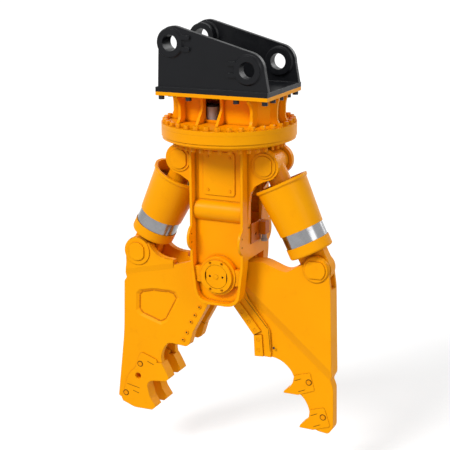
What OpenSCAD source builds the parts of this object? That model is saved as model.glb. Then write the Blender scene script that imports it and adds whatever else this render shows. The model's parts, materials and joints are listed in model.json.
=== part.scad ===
// Hydraulic shear for a demolition excavator of 40 to 50 tonnes.
// The slewing axis is upright and the jaws open sideways, along X.
// Every piece is drawn about the slewing axis, with the top of the slewing ring
// at height zero. placed() then moves the origin to the middle of the stick pin bore.

/* [Carrier bracket] */
// Bore for both carrier pins
carrier_bore_d = 110; // [90:1:125]
// Stick pin, sideways from the slewing axis
stick_x = 294; // [260:1:310]
// Stick pin, above the bracket's base plate
stick_h = 296; // [270:1:340]
// Link pin, sideways from the slewing axis
link_x = 264; // [240:1:280]
// Link pin, above the base plate
link_h = 141; // [125:1:170]
// Thickness of an ear plate
ear_t = 35; // [25:1:40]
// Clear width between the ear plates
ear_gap = 498; // [440:2:510]
// Radius of the bosses round the carrier bores
carrier_boss_r = 92; // [80:1:100]
// How far those bosses stand out from the ears
carrier_boss_proud = 16; // [6:1:25]
// Thickness of the bracket's base plate
base_plate_t = 32; // [20:1:45]
// Length of the base plate and of the housing's top plate
plate_l = 816; // [790:2:860]
// Width of the base plate and of the housing's top plate
plate_w = 592; // [588:2:640]
// Head diameter of the bracket bolts
bracket_bolt_head_d = 40; // [30:1:44]

/* [Rotator housing] */
// Thickness of the housing's top plate
top_plate_t = 25; // [15:1:35]
// Height of the drum between the ring and the top plate
drum_h = 190; // [170:1:230]
// How far the eight-sided drum's ends stand in from the top plate's
drum_inset = 68; // [58:1:88]
// Width of the drum
drum_w = 300; // [290:2:330]
// Thickness of the drum's wall
drum_wall = 20; // [12:1:26]
// Thickness of the upright ribs
rib_t = 20; // [12:1:24]
// Width of the window in front of the rotation motor
window_w = 126; // [100:1:134]
// Diameter of the rotation motor
motor_d = 86; // [70:1:90]

/* [Slewing ring] */
// Radius of the ring
ring_r = 464; // [455:1:480]
// Thickness of the housing's flange
flange_t = 29; // [20:1:36]
// Height of the outer race
race_h = 59; // [54:1:70]
// Running gap above the turntable
ring_gap = 2; // [1:0.5:5]
// Thickness of the turntable's rim
table_rim_t = 18; // [12:1:26]
// Height of the cone under the turntable's rim
table_cone_h = 23; // [18:1:32]
// Bolts round the ring
ring_bolts = 36; // [24:12:36]
// Head diameter of the ring bolts
ring_bolt_head_d = 28; // [20:1:30]
// Diameter of a bearing ball
ball_d = 38; // [30:1:40]
// Balls in the bearing
ball_n = 32; // [16:4:40]

/* [Frame] */
// Main pin, below the turntable
pivot_drop = 924; // [910:1:960]
// Cylinder pins at the frame, sideways from the slewing axis
top_pin_x = 318; // [312:1:326]
// Cylinder pins at the frame, below the turntable
top_pin_drop = 135; // [125:1:142]
// Half width of the frame over its side rails
rail_half = 200; // [194:1:204]
// Thickness of the side rails and walls
rail_t = 18; // [12:1:22]
// Front of the side rails, from the middle plane
rail_out = 224; // [218:1:232]
// Thickness of the web plates
web_t = 25; // [16:1:27]
// Radius of the cylinder ears on the frame
shoulder_r = 105; // [98:1:112]
// Thickness of the cylinder ears
shoulder_t = 40; // [30:1:44]
// Diameter of the main pin
main_pin_d = 160; // [140:1:170]
// Radius of the hub flange round the main pin
hub_r = 117; // [112:1:122]
// Width of the inspection cover
cover_w = 236; // [200:2:250]
// Height of the inspection cover
cover_h = 301; // [260:1:310]

/* [Jaws] */
// Depth of the mouth below the main pin, the unit of the jaw outlines
jaw_depth = 1000; // [985:1:1015]
// Thickness of the wide jaw's plates
jaw_plate_t = 44; // [38:1:44]
// Half width of the narrow jaw's box
box_half = 62; // [58:1:62]
// Half width of the narrow jaw's tooth plate
tooth_plate_half = 38; // [32:1:40]
// Thickness of a claw on the wide jaw
claw_t = 90; // [80:1:94]
// Thickness of a blade
blade_t = 24; // [18:1:24]
// Gap between the blades as they pass
shear_gap = 1; // [0.5:0.5:2]
// Diameter of the cylinder pins at the jaws
jaw_pin_d = 120; // [100:1:130]

/* [Cylinders] */
// Outer diameter of the barrel
barrel_d = 300; // [290:1:304]
// Wall of the barrel
barrel_wall = 25; // [20:1:35]
// Diameter of the rod
rod_d = 150; // [120:1:150]
// How far the guard's rim stands out from the barrel
guard_reach = 38; // [32:1:42]
// Length of the guard round the rod
guard_l = 347; // [320:1:352]
// Diameter of the pins at the frame
top_pin_d = 100; // [80:1:110]
// Half width of the rod's eye
rod_eye_half = 97; // [80:1:98]

/* [Hidden] */
$fn = 64;
// One overrun for every cut
over = 5;
// Segments in a rounded corner of an outline
curve_steps = 6;
// Radial clearance of a running pin, and of a fixed one
run_fit = 0.05;
set_fit = 0.03;
// Side clearance of a running face
side_gap = 1;

// Heights from the top of the ring
housing_top = drum_h + top_plate_t;
base_top = housing_top + base_plate_t;
stick_z = base_top + stick_h;
link_z = base_top + link_h;
race_bottom = -flange_t - race_h;
table_top = race_bottom - ring_gap;
rim_bottom = table_top - table_rim_t;
table_bottom = rim_bottom - table_cone_h;
pivot_z = table_bottom - pivot_drop;
top_pin_z = table_bottom - top_pin_drop;

// Bracket
ear_in = ear_gap / 2;
ear_out = ear_in + ear_t;
boss_out = ear_out + carrier_boss_proud;
crown_shift = 22;
crown_r = 112;
link_r = 118;
foot_left = 394;
foot_right = 408;
stick_boss_in = 74;
link_boss_in = 24;
weld = 10;
keeper_reach = 113;
keeper_l = 40;
keeper_r = 14;
keeper_spread = 38;
bracket_bolt_inset = 30;
bracket_bolt_head_h = 28;
bracket_bolt_d = 24;
bracket_bolt_bite = 24;
hex_key = 20;
hex_deep = 12;
bolt_fit = 0.5;
long_row_share = 0.46;
end_row_share = 0.5;

// Housing
drum_corner = 72;
window_x = -49;
window_sill = 20;
window_h = 145;
window_corner = 18;
drum_l = plate_l - 2 * drum_inset;
corner_rib_inset = 75;
corner_rib_x = drum_l / 2 - corner_rib_inset;
side_rib_y = 70;
corner_rib_foot = 112;
corner_rib_waist = 76;
corner_rib_top = 130;
middle_rib_foot = 108;
middle_rib_waist = 20;
middle_rib_top = 33;
side_rib_foot = 78;
side_rib_waist = 46;
side_rib_top = 58;
motor_reach = 120;
motor_base_t = 20;
motor_h = 105;
motor_cap_h = 14;
motor_cap_over = 3;
swivel_r = 50;
swivel_flange_r = 64;
swivel_flange_t = 14;
swivel_up = 140;
swivel_ports = 4;
swivel_port_r = 12;
swivel_port_l = 16;

// Ring
flange_bolt_inset = 27;
ring_bolt_head_h = 22;
table_bolt_head_h = 15;
ball_inset = 51;
ball_play = 0.3;
race_split = 3;
inner_race_w = 76;
inner_race_play = 4;
table_bore = 130;
rim_inset = 6;
cone_inset = 64;
table_bolt_inset = 93;
first_bolt_share = 0.5;

// Frame
web_in = 135;
web_out = web_in + web_t;
shoulder_in = 101;
shoulder_out = shoulder_in + shoulder_t;
shoulder_boss_r = 87;
shoulder_boss_proud = 8;
top_cap_r = 68;
top_cap_flat = 60;
top_cap_t = 9;
shoulder_drop = 829;
foot_half = 163;
foot_drop = 211;
foot_corner = 100;
lobe_drop = 664;
lobe_r = 94;
lobe_back = 40;
lobe_hole_r = 7;
lobe_hole_gap = 60;
bulge_drop = 474;
bulge_r = 77;
bulge_y = 130;
bulge_wall = 18;
band_up = 54;
band_h = 113;
band_out = 205;
skirt_out = 172;
hub_boss_r = 137;
hub_boss_out = 212;
hub_out = 232;
recess_r = 86;
recess_deep = 18;
cap_r = 84;
cap_flat = 76;
cap_t = 16;
cap_hole_x = 48;
cap_hole_r = 8;
cap_button_r = 16;
cap_button_proud = 4;
hub_bolt_x = 44;
hub_bolt_z = 94;
hub_bolt_r = 10;
hub_bolt_h = 14;
hub_bolt_sunk = 3;
hub_bolt_key_r = 6;
pad_half = 155;
pad_top_drop = 28;
pad_h = 365;
pad_t = 5;
cover_drop = 59;
cover_t = 8;
cover_corner = 24;
cover_lap = 24;
screw_inset = 36;
screw_r = 9;
screw_h = 6;
wall_drop = 804;
opening_top_drop = 289;
opening_h = 290;
opening_edge = 12;
lower_wall_drop = 584;
gusset_shares = [[0.38, -0.87], [-0.11, -1.11], [-0.57, -1.42], [-0.88, -2.0], [-0.94, -2.6],
    [-0.98, -3.4]];
gusset_foot_share = 4.25;
block_pad_t = 10;
block_pad_front = 100;
block_pad_back = 60;
block_pad_h = 140;
block_drop = 559;
block_out = 58;
block_y = 30;
block_w = 70;
block_h = 90;
port_hole_r = 12;
stub_r = 17;
stub_l = 38;
stub_nut_r = 23;
stub_nut_h = 16;
washer_r = 130;
washer_t = 3;

// Jaws, all shares being of jaw_depth, with X outwards and Z up from the main pin
jaw_pin_share = [0.668, 0.085];
jaw_pin_at = jaw_pin_share * jaw_depth;
wide_in = 88;
wide_out = wide_in + jaw_plate_t;
claw_in = 50;
claw_out = claw_in + claw_t;
hub_disc_r = 170;
bush_t = 15;
wide_boss_r = 104;
narrow_boss_r = 97;
boss_step = 4;
boss_neck_r = 95;
boss_neck_in = 40;
arm_proud = 8;
arm_seam_w = 42;
arm_seam_share = [0.777, -0.105];
arm_seam_tilt = 12.8;
arm_inset = 3;
arm_shares = [[0.381, -0.028], [0.381, 0.048, 0.008], [0.441, 0.050], [0.573, 0.149], [0.650, 0.147],
    [0.763, 0.085], [0.763, -0.013, 0.02], [0.774, -0.090, 0.01], [0.766, -0.116]];
pocket_deep = 18;
pocket_draft_share = 0.84;
jaw_cap_t = 10;
jaw_cap_r = 66;
jaw_cap_flat = 58;
claw_pin_r = 17;
claw_pin_proud = 3;
claw_eye_r = 24;
blade_bolt_r = 14;
blade_bolt_h = 7;
blade_shank_r = 8;
blade_bolt_bite = 14;
arch_r_share = 0.150;
arch_share = [0.430, 0.205];
wide_plate_shares = [[0.040, 0.120], [0.378, 0.012, 0.01], [0.378, 0.051, 0.01], [0.441, 0.053],
    [0.576, 0.152], [0.650, 0.150], [0.766, 0.085], [0.766, -0.013, 0.02],
    [0.777, -0.090, 0.01], [0.766, -0.128, 0.012], [0.787, -0.152, 0.012], [0.800, -0.540, 0.1],
    [0.864, -1.062, 0.006], [0.837, -1.076], [0.700, -0.960], [0.560, -0.800], [0.492, -0.750],
    [0.500, -0.704, 0.02], [0.486, -0.655, 0.02], [0.464, -0.613, 0.02], [0.436, -0.584, 0.014],
    [0.394, -0.583], [0.293, -0.590, 0.01], [0.268, -0.575, 0.015], [0.235, -0.471],
    [0.121, -0.264], [0.060, -0.150]];
claw_shares = [[0.673, -0.707, 0.012], [0.655, -0.689, 0.01], [0.531, -0.731, 0.006],
    [0.532, -0.751], [0.492, -0.750], [0.464, -0.797, 0.03], [0.432, -0.860, 0.008],
    [0.458, -0.885, 0.008], [0.485, -0.888], [0.594, -0.903, 0.02], [0.620, -0.943, 0.02],
    [0.605, -0.988, 0.02], [0.597, -1.030, 0.02], [0.549, -1.102, 0.006], [0.579, -1.131, 0.006],
    [0.728, -1.134, 0.02], [0.825, -1.099], [0.837, -1.076], [0.809, -0.999], [0.790, -0.932, 0.03],
    [0.766, -0.868, 0.03], [0.709, -0.815, 0.03]];
spine_shares = [[0.770, -0.055], [0.690, -0.060, 0.02], [0.676, -0.160, 0.05], [0.688, -0.540, 0.08],
    [0.690, -0.660, 0.03], [0.720, -0.960], [0.815, -1.080], [0.837, -1.076], [0.858, -1.060],
    [0.795, -0.540, 0.1], [0.782, -0.154]];
pocket_shares = [[0.694, -0.239], [0.668, -0.209], [0.560, -0.183], [0.414, -0.179],
    [0.366, -0.188], [0.339, -0.229], [0.444, -0.426], [0.493, -0.456], [0.665, -0.404],
    [0.698, -0.370]];
pocket_middle_share = [0.540, -0.300];
upper_blade_shares = [[0.085, -0.198], [0.121, -0.264], [0.234, -0.469], [0.306, -0.436],
    [0.160, -0.170]];
lower_blade_shares = [[0.236, -0.473], [0.268, -0.575], [0.293, -0.589], [0.350, -0.586],
    [0.308, -0.440]];
upper_bolt_shares = [[0.180, -0.275], [0.217, -0.340], [0.248, -0.395]];
lower_bolt_shares = [[0.283, -0.480], [0.314, -0.540]];
claw_pin_shares = [[0.670, -0.781], [0.797, -1.029]];
claw_eye_share = [0.690, -0.879];

narrow_shares = [[0.060, 0.120], [0.158, 0.080, 0.03], [0.272, 0.094, 0.04], [0.444, 0.032, 0.05],
    [0.546, 0.098], [0.600, 0.120], [0.758, 0.085], [0.776, -0.044, 0.02], [0.792, -0.635],
    [0.795, -0.670, 0.01], [0.777, -0.711, 0.012], [0.799, -0.767, 0.012], [0.804, -1.061, 0.02],
    [0.769, -1.113, 0.02], [0.692, -1.104], [0.656, -1.090], [0.700, -1.000], [0.627, -0.971],
    [0.615, -0.928, 0.02], [0.592, -0.886, 0.02], [0.561, -0.854], [0.545, -0.850], [0.580, -0.780],
    [0.507, -0.727], [0.484, -0.678, 0.03], [0.423, -0.625, 0.03], [0.362, -0.604, 0.02],
    [0.278, -0.603], [0.216, -0.608, 0.006], [0.208, -0.452], [0.054, -0.257], [0.010, -0.150]];
ledge_shares = [[0.020, -0.120], [0.130, -0.100], [0.160, -0.190], [0.329, -0.400, 0.03],
    [0.337, -0.577], [0.336, -0.604], [0.278, -0.603], [0.216, -0.608, 0.006], [0.208, -0.452],
    [0.054, -0.257], [0.010, -0.150]];
narrow_upper_blade_shares = [[0.054, -0.257], [0.207, -0.451], [0.262, -0.414], [0.097, -0.221]];
narrow_lower_blade_shares = [[0.208, -0.453], [0.216, -0.607], [0.281, -0.602], [0.270, -0.442]];
narrow_bolt_shares = [[0.118, -0.290], [0.172, -0.357], [0.218, -0.415], [0.243, -0.482],
    [0.246, -0.560]];
upper_tooth_shares = [[0.509, -0.714, 0.01], [0.628, -0.676, 0.01], [0.663, -0.804, 0.012],
    [0.540, -0.856], [0.430, -0.857, 0.006], [0.434, -0.840, 0.008], [0.478, -0.808],
    [0.500, -0.766], [0.507, -0.727]];
lower_tooth_shares = [[0.632, -0.953, 0.01], [0.736, -0.919, 0.01], [0.783, -1.054, 0.012],
    [0.656, -1.101], [0.552, -1.099, 0.006], [0.558, -1.078, 0.008], [0.594, -1.046, 0.01],
    [0.623, -1.010], [0.627, -0.971]];
tooth_pin_shares = [[0.620, -0.748], [0.728, -0.992]];
band_share = [0.150, -0.177];
band_tilt = 40.4;
band_w = 64;
tooth_proud = 4;
ledge_half = 50;
narrow_hub_half = 84;
narrow_hub_r = 140;
eye_pocket_half = 40;
eye_pocket_r = 140;
eye_slot_x = 14;
narrow_boss_proud = 6;
narrow_ring_r = 88;
narrow_ring_proud = 4;
narrow_cap_r = 72;
narrow_cap_flat = 59;
tooth_pin_r = 17;

// Cylinders, with stations measured from the frame's pin or back from the jaw's pin
top_pin_at = [top_pin_x, top_pin_z - pivot_z];
reach = jaw_pin_at - top_pin_at;
cyl_l = norm(reach);
cyl_tilt = atan2(reach.x, -reach.y);
bore_d = barrel_d - 2 * barrel_wall;
eye_play = 5.2;
eye_shift = 4.4;
rod_eye_r = 80;
eye_r = 100;
eye_half = 38;
cap_end = 118;
cap_rim = 196;
socket_deep = 8;
cap_round = 16;
cap_proud = 5;
piston_up = 196;
piston_t = 35;
piston_play = 0.1;
head_up = 556;
head_t = 32;
guard_up = 638;
rim_h = 18;
rim_step = 10;
guard_wall = 8;
guard_foot_proud = 6;
guard_foot_h = 25;

// Outline helpers: a third entry is how far the rounding reaches along both edges
function flat(q) = [q.x, q.y];
function corner(p, i) =
    let (n = len(p))
    let (a = flat(p[(i + n - 1) % n]), b = flat(p[i]), c = flat(p[(i + 1) % n]))
    let (cut = len(p[i]) > 2 ? p[i].z : 0)
    cut == 0 ? [b] :
    let (s = b + (a - b) * cut / norm(a - b), e = b + (c - b) * cut / norm(c - b))
    [for (k = [0 : curve_steps])
        let (t = k / curve_steps)
        s * (1 - t) * (1 - t) + b * 2 * t * (1 - t) + e * t * t];
function soft(p) = [for (i = [0 : len(p) - 1]) each corner(p, i)];
function scaled(p) = [for (q = p) q * jaw_depth];

// Placing helpers
module placed() {
    translate([stick_x, 0, -stick_z]) children();
}
module at(x, z) {
    translate([x, 0, z]) children();
}
module at_pivot() {
    translate([0, 0, pivot_z]) children();
}
module leftward() {
    mirror([1, 0, 0]) children();
}
module rearward() {
    mirror([0, 1, 0]) children();
}
module both_faces() {
    children();
    rearward() children();
}
// A flat shape in X and Z, from y0 to y1
module xz(y0, y1) {
    translate([0, y1, 0]) rotate([90, 0, 0]) linear_extrude(y1 - y0) children();
}
// A flat shape in Y and Z, from x0 to x1
module yz(x0, x1) {
    translate([x0, 0, 0]) rotate([90, 0, 90]) linear_extrude(x1 - x0) children();
}
module y_rod(r, y0, y1) {
    translate([0, y1, 0]) rotate([90, 0, 0]) cylinder(r = r, h = y1 - y0);
}
module hexagon(across, h) {
    cylinder(d = across, h = h, $fn = 6);
}

// Bracket
module ear_outline() {
    a = [crown_shift - stick_x, stick_z];
    b = [link_x, link_z];
    lean = atan2(b.y - a.y, b.x - a.x) + acos((crown_r - link_r) / norm(b - a));
    n = [cos(lean), sin(lean)];
    translate(a) circle(r = crown_r);
    translate(b) circle(r = link_r);
    polygon([[-foot_left, base_top], [a.x - crown_r, a.y], a + crown_r * n, b + link_r * n,
        [b.x + link_r, b.y], [foot_right, base_top]]);
}
module carrier_boss(inward) {
    y_rod(carrier_boss_r, -boss_out, inward - ear_in);
    translate([0, -ear_out, 0]) rotate([90, 0, 0])
        cylinder(r1 = carrier_boss_r + weld, r2 = carrier_boss_r, h = weld);
    translate([0, -ear_in, 0]) rotate([-90, 0, 0])
        cylinder(r1 = carrier_boss_r + weld, r2 = carrier_boss_r, h = weld);
}
module keepers(side) {
    for (up = [-1, 1])
        at(side * keeper_reach, up * keeper_spread) xz(-boss_out, -ear_in) {
            translate([-keeper_l / 2, -keeper_r]) square([keeper_l, 2 * keeper_r]);
            translate([-keeper_l / 2, 0]) circle(r = keeper_r);
            translate([keeper_l / 2, 0]) circle(r = keeper_r);
        }
}
module front_ear() {
    color("#26282c") difference() {
        union() {
            xz(-ear_out, -ear_in) ear_outline();
            at(-stick_x, stick_z) carrier_boss(stick_boss_in);
            at(link_x, link_z) carrier_boss(link_boss_in);
            at(-stick_x, stick_z) keepers(1);
            at(link_x, link_z) keepers(-1);
        }
        at(-stick_x, stick_z) y_rod(carrier_bore_d / 2, -boss_out - over, 0);
        at(link_x, link_z) y_rod(carrier_bore_d / 2, -boss_out - over, 0);
    }
}
module at_bracket_bolts() {
    x = plate_l / 2 - bracket_bolt_inset;
    y = plate_w / 2 - bracket_bolt_inset;
    for (sx = [-1, -long_row_share, long_row_share, 1], sy = [-1, 1])
        translate([sx * x, sy * y, 0]) children();
    for (sx = [-1, 1], sy = [-end_row_share, 0, end_row_share])
        translate([sx * x, sy * y, 0]) children();
}
module bracket_base_plate() {
    placed() color("#26282c") difference() {
        translate([-plate_l / 2, -plate_w / 2, housing_top]) cube([plate_l, plate_w, base_plate_t]);
        at_bracket_bolts() translate([0, 0, housing_top - over])
            cylinder(d = bracket_bolt_d + 2 * bolt_fit, h = bracket_bolt_bite + over + bolt_fit);
    }
}
module bracket_front_ear() {
    placed() front_ear();
}
module bracket_rear_ear() {
    placed() rearward() front_ear();
}
module bracket_bolts() {
    placed() color("#1f2023") at_bracket_bolts() difference() {
        union() {
            translate([0, 0, drum_h - bracket_bolt_head_h])
                cylinder(d = bracket_bolt_head_d, h = bracket_bolt_head_h);
            translate([0, 0, drum_h - bracket_bolt_head_h / 2])
                cylinder(d = bracket_bolt_d,
                    h = bracket_bolt_head_h / 2 + top_plate_t + bracket_bolt_bite);
        }
        translate([0, 0, drum_h - bracket_bolt_head_h - over]) hexagon(hex_key, hex_deep + over);
    }
}

// Housing
module housing_top_plate() {
    placed() color("#ffa500") difference() {
        translate([-plate_l / 2, -plate_w / 2, drum_h]) cube([plate_l, plate_w, top_plate_t]);
        at_bracket_bolts() translate([0, 0, drum_h - over])
            cylinder(d = bracket_bolt_d + 2 * bolt_fit, h = top_plate_t + 2 * over);
    }
}
module drum_outline(inset) {
    c = drum_corner - inset * (2 - sqrt(2));
    x = drum_l / 2 - inset;
    y = drum_w / 2 - inset;
    polygon([[x, y - c], [x - c, y], [c - x, y], [-x, y - c], [-x, c - y], [c - x, -y],
        [x - c, -y], [x, c - y]]);
}
// Upright rib, standing out along X from the drum's wall
module rib(profile) {
    rotate([90, 0, 0]) translate([0, 0, -rib_t / 2]) linear_extrude(rib_t)
        polygon(soft(concat([[-drum_wall / 2, 0]], profile, [[-drum_wall / 2, drum_h]])));
}
module ribs() {
    waist_setback = drum_h * 0.16;
    corner_rib = [[corner_rib_foot, 0], [corner_rib_waist, drum_h * 0.16, waist_setback],
        [corner_rib_waist, drum_h * 0.66, waist_setback], [corner_rib_top, drum_h * 0.92],
        [corner_rib_top, drum_h]];
    middle_rib = [[middle_rib_foot, 0], [middle_rib_waist, drum_h * 0.55, waist_setback],
        [middle_rib_top, drum_h * 0.92], [middle_rib_top, drum_h]];
    side_rib = [[side_rib_foot, 0], [side_rib_waist, drum_h * 0.16, waist_setback],
        [side_rib_waist, drum_h * 0.7, waist_setback], [side_rib_top, drum_h * 0.92],
        [side_rib_top, drum_h]];
    for (s = [-1, 1]) {
        for (x = [-corner_rib_x, corner_rib_x])
            translate([x, s * drum_w / 2, 0]) rotate([0, 0, s * 90]) rib(corner_rib);
        for (x = [-1, 1])
            translate([window_x + x * (window_w + rib_t) / 2, s * drum_w / 2, 0])
                rotate([0, 0, s * 90]) rib(middle_rib);
        for (y = [-side_rib_y, side_rib_y])
            translate([s * drum_l / 2, y, 0]) rotate([0, 0, 90 - s * 90]) rib(side_rib);
    }
}
module housing_drum() {
    placed() color("#ffa500") difference() {
        union() {
            linear_extrude(drum_h) difference() {
                drum_outline(0);
                drum_outline(drum_wall);
            }
            difference() {
                ribs();
                linear_extrude(drum_h) drum_outline(drum_wall / 2);
            }
        }
        at(window_x, window_sill) xz(-drum_w / 2 - over, -drum_w / 2 + drum_wall + over)
            polygon(soft([[-window_w / 2, 0, window_corner], [window_w / 2, 0, window_corner],
                [window_w / 2, window_h, window_corner], [-window_w / 2, window_h, window_corner]]));
    }
}
module at_motor() {
    rotate([0, 0, -135]) translate([motor_reach, 0, 0]) children();
}
module housing_flange() {
    placed() color("#ffa500") difference() {
        translate([0, 0, -flange_t]) cylinder(r = ring_r, h = flange_t);
        translate([0, 0, -flange_t - over]) cylinder(r = swivel_r + bolt_fit, h = flange_t + 2 * over);
    }
}
module round_the_ring(r) {
    for (i = [0 : ring_bolts - 1])
        rotate([0, 0, (i + first_bolt_share) * 360 / ring_bolts]) translate([r, 0, 0]) children();
}
module housing_bolts() {
    placed() color("#f2a30a") round_the_ring(ring_r - flange_bolt_inset) {
        hexagon(ring_bolt_head_d, ring_bolt_head_h);
    }
}
module ring_outer_race() {
    ball_at = ring_r - ball_inset;
    placed() color("#ffa500") rotate_extrude() difference() {
        translate([ball_at + race_split / 2, race_bottom]) square([ball_inset - race_split / 2, race_h]);
        translate([ball_at, race_bottom + race_h / 2]) circle(d = ball_d + 2 * ball_play);
    }
}
module rotation_motor() {
    placed() at_motor() color("#8d9196") {
        cylinder(d = motor_d, h = motor_base_t);
        translate([0, 0, motor_base_t / 2]) cylinder(d = motor_d - motor_cap_over, h = motor_h - motor_base_t / 2);
    }
}
module motor_cap() {
    placed() at_motor() color("#202124") translate([0, 0, motor_h])
        cylinder(d = motor_d, h = motor_cap_h);
}
module oil_swivel() {
    placed() color("#6d7075") {
        translate([0, 0, table_top]) cylinder(r = swivel_r, h = swivel_up - table_top);
        cylinder(r = swivel_flange_r, h = swivel_flange_t);
        for (i = [0 : swivel_ports - 1])
            rotate([0, 0, 45 + i * 360 / swivel_ports]) translate([0, 0, swivel_up - swivel_port_r * 2])
                rotate([0, 90, 0]) cylinder(r = swivel_port_r, h = swivel_r + swivel_port_l);
    }
}

// Turntable and bearing
module ring_inner_race() {
    ball_at = ring_r - ball_inset;
    top = -flange_t - inner_race_play;
    placed() color("#9a9da1") rotate_extrude() difference() {
        translate([ball_at - race_split / 2 - inner_race_w, table_top])
            square([inner_race_w, top - table_top]);
        translate([ball_at, race_bottom + race_h / 2]) circle(d = ball_d + 2 * ball_play);
    }
}
module ring_balls() {
    placed() color("#c9ccd0")
        for (i = [0 : ball_n - 1])
            rotate([0, 0, i * 360 / ball_n]) translate([ring_r - ball_inset, 0, race_bottom + race_h / 2])
                sphere(d = ball_d, $fn = 32);
}
module turntable_flange() {
    placed() color("#ffa500") rotate_extrude()
        polygon([[table_bore, table_top], [ring_r - rim_inset, table_top],
            [ring_r - rim_inset, rim_bottom], [ring_r - cone_inset, table_bottom],
            [table_bore, table_bottom]]);
}
module turntable_bolts() {
    placed() color("#f2a30a") round_the_ring(ring_r - table_bolt_inset)
        translate([0, 0, table_bottom - table_bolt_head_h]) hexagon(ring_bolt_head_d, table_bolt_head_h);
}

// Frame
function drop(d) = table_bottom - d;
function shell_half(inset) = [[rail_half - inset, table_bottom],
    [rail_half - inset, drop(shoulder_drop), foot_corner / 2],
    [foot_half - inset, pivot_z - foot_drop + inset, foot_corner - inset / 2]];
function shell_points(inset) =
    let (h = shell_half(inset))
    concat(h, [for (i = [len(h) - 1 : -1 : 0]) [-h[i].x, h[i].y, len(h[i]) > 2 ? h[i].z : 0]]);
module shoulder_outline() {
    t = [top_pin_x, top_pin_z];
    ear_reach = top_pin_x - rail_half;
    translate(t) circle(r = shoulder_r);
    polygon(concat([[rail_half, table_bottom], [t.x, table_bottom],
        t + shoulder_r * [cos(35), sin(35)]],
        [for (q = gusset_shares) t + [ear_reach * q.x, shoulder_r * q.y]],
        [[rail_half, t.y - shoulder_r * gusset_foot_share]]));
}
module shoulder_ear() {
    color("#ffa500") difference() {
        union() {
            xz(-shoulder_out, -shoulder_in) shoulder_outline();
            at(top_pin_x, top_pin_z)
                y_rod(shoulder_boss_r, -shoulder_out - shoulder_boss_proud, -shoulder_in);
        }
        at(top_pin_x, top_pin_z) y_rod(top_pin_d / 2 + set_fit, -rail_out, over - shoulder_in);
    }
}
module frame_front_ears() {
    placed() shoulder_ear();
    placed() leftward() shoulder_ear();
}
module frame_rear_ears() {
    placed() rearward() shoulder_ear();
    placed() rearward() leftward() shoulder_ear();
}
module bulge_shape(r) {
    translate([-bulge_y, drop(bulge_drop)]) circle(r = r);
}
module lobe() {
    yz(rail_half - rail_t, rail_half) difference() {
        intersection() {
            translate([lobe_back - rail_out, drop(lobe_drop)]) circle(r = lobe_r);
            translate([-rail_out - lobe_r, drop(lobe_drop) - lobe_r])
                square([rail_out + lobe_r - web_in, 2 * lobe_r]);
        }
        for (s = [-1, 1])
            translate([-rail_out - lobe_back / 4, drop(lobe_drop) + s * lobe_hole_gap / 2])
                circle(r = lobe_hole_r);
    }
}
module front_shell() {
    inner_half = rail_half - rail_t;
    color("#ffa500") difference() {
        union() {
            xz(-rail_out, -web_in) difference() {
                polygon(soft(shell_points(0)));
                polygon(soft(shell_points(rail_t)));
            }
            xz(-web_out, -web_in) polygon(soft(shell_points(rail_t / 2)));
            xz(-skirt_out, -web_in) intersection() {
                polygon(soft(shell_points(rail_t / 2)));
                translate([-rail_half, pivot_z - foot_drop]) square([2 * rail_half, foot_drop]);
            }
            translate([-inner_half, -band_out, pivot_z + band_up - band_h])
                cube([2 * inner_half, band_out - web_in, band_h]);
            yz(-inner_half - rail_t / 2, inner_half + rail_t / 2) intersection() {
                bulge_shape(bulge_r);
                translate([-bulge_y - bulge_r, drop(bulge_drop) - bulge_r])
                    square([bulge_y + bulge_r - web_in, 2 * bulge_r]);
            }
            translate([-pad_half, -web_out - pad_t, drop(pad_top_drop + pad_h)])
                cube([2 * pad_half, pad_t + web_t / 2, pad_h]);
            at_pivot() y_rod(hub_boss_r, -hub_boss_out, -web_in);
            at_pivot() y_rod(hub_r, -hub_out, -web_in);
            for (s = [0, 1]) mirror([s, 0, 0]) {
                lobe();
                xz(-shoulder_out, -shoulder_in)
                    translate([inner_half, top_pin_z - shoulder_r * gusset_foot_share])
                        square([rail_t, table_bottom - top_pin_z + shoulder_r * gusset_foot_share]);
            }
        }
        yz(-inner_half, inner_half) bulge_shape(bulge_r - bulge_wall);
        at_pivot() y_rod(main_pin_d / 2 + set_fit, -hub_out - over, -web_in + over);
        at_pivot() y_rod(recess_r, -hub_out - over, recess_deep - hub_out);
        at_pivot() for (sx = [-1, 1], sz = [-1, 1])
            at(sx * hub_bolt_x, sz * hub_bolt_z)
                y_rod(hub_bolt_r + bolt_fit, -hub_out - over, hub_bolt_sunk + hub_bolt_h - hub_out);
        translate([cover_lap - cover_w / 2, -rail_out, drop(cover_drop + cover_h) + cover_lap])
            cube([cover_w - 2 * cover_lap, rail_out, cover_h - 2 * cover_lap]);
    }
}
module frame_front() {
    placed() front_shell();
}
module frame_rear() {
    placed() rearward() front_shell();
}
module side_wall() {
    color("#ffa500") yz(rail_half - rail_t, rail_half) difference() {
        union() {
            translate([-shoulder_in, drop(lower_wall_drop)])
                square([2 * shoulder_in, lower_wall_drop]);
            translate([-web_in, drop(wall_drop)]) square([2 * web_in, wall_drop - lower_wall_drop]);
        }
        translate([opening_edge - shoulder_in, drop(opening_top_drop + opening_h)])
            square([2 * (shoulder_in - opening_edge), opening_h]);
    }
}
module frame_left_wall() {
    placed() leftward() side_wall();
}
module frame_right_wall() {
    placed() side_wall();
}
module cover_plate() {
    x = cover_w / 2;
    at(0, drop(cover_drop + cover_h)) xz(-web_out - pad_t - cover_t, -web_out - pad_t)
        polygon(soft([[-x, 0, cover_corner], [x, 0, cover_corner], [x, cover_h, cover_corner],
            [-x, cover_h, cover_corner]]));
}
module inspection_covers() {
    placed() color("#ffa500") both_faces() cover_plate();
}
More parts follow.
